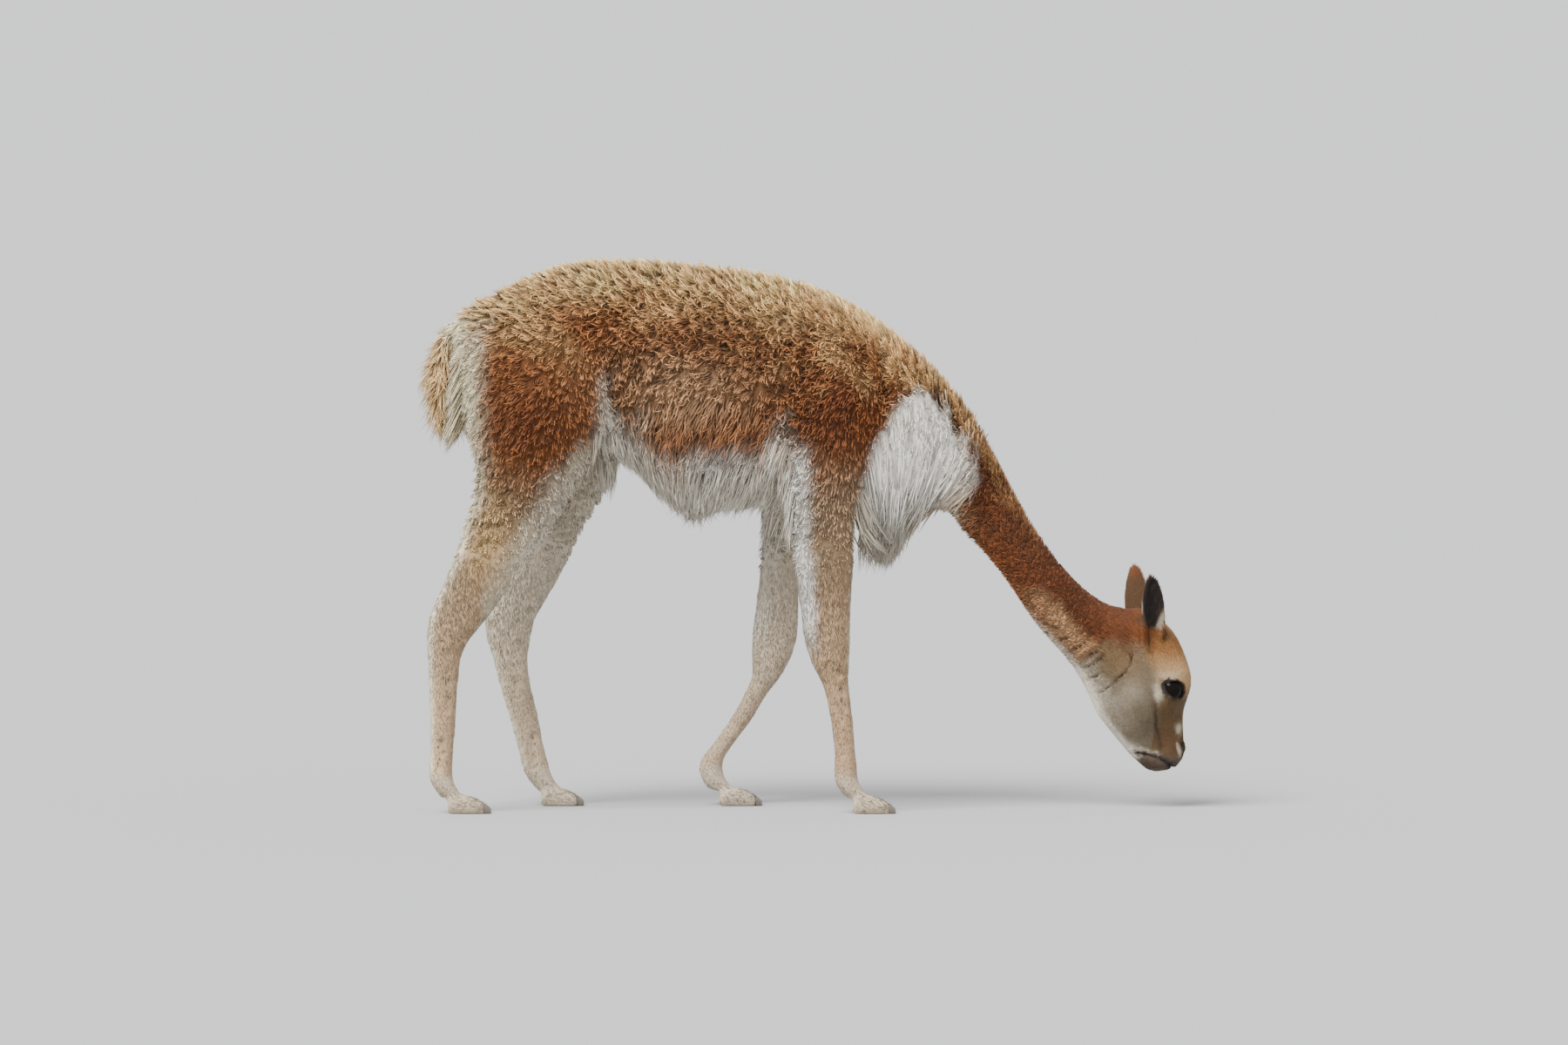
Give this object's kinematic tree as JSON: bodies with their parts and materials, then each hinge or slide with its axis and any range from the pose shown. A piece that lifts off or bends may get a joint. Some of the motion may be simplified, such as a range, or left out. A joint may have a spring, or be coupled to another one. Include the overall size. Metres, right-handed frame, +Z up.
{
  "type": "vicuna model",
  "caption": "Life-size still model of a vicuna grazing with its head lowered, with a long chest bib, belly fringe and bushy tail.",
  "frame": {"origin": "on the floor, under the middle of the bounding box", "axes": "+X towards the head, +Y to the animal's left, +Z up"},
  "size_m": [1.2315, 0.3113, 0.8864],
  "materials": {
    "fleece": "soft wool, cinnamon above and white on chest and belly",
    "face": "short hair, fawn with pale cheeks",
    "short_coat": "short hair, tan with pale edges",
    "eye": "wet and dark",
    "nail": "pale horn"
  },
  "bodies": {
    "root": {"torso": "fleece", "neck": "fleece", "tail": "fleece", "head": "face", "ear_near": "face", "ear_far": "face", "eye_near": "eye", "eye_far": "eye", "leg_near_hind": "short_coat", "nail_near_hind_1": "nail", "nail_near_hind_2": "nail", "leg_far_hind": "short_coat", "nail_far_hind_1": "nail", "nail_far_hind_2": "nail", "leg_near_fore": "short_coat", "nail_near_fore_1": "nail", "nail_near_fore_2": "nail", "leg_far_fore": "short_coat", "nail_far_fore_1": "nail", "nail_far_fore_2": "nail"}
  },
  "joints": []
}
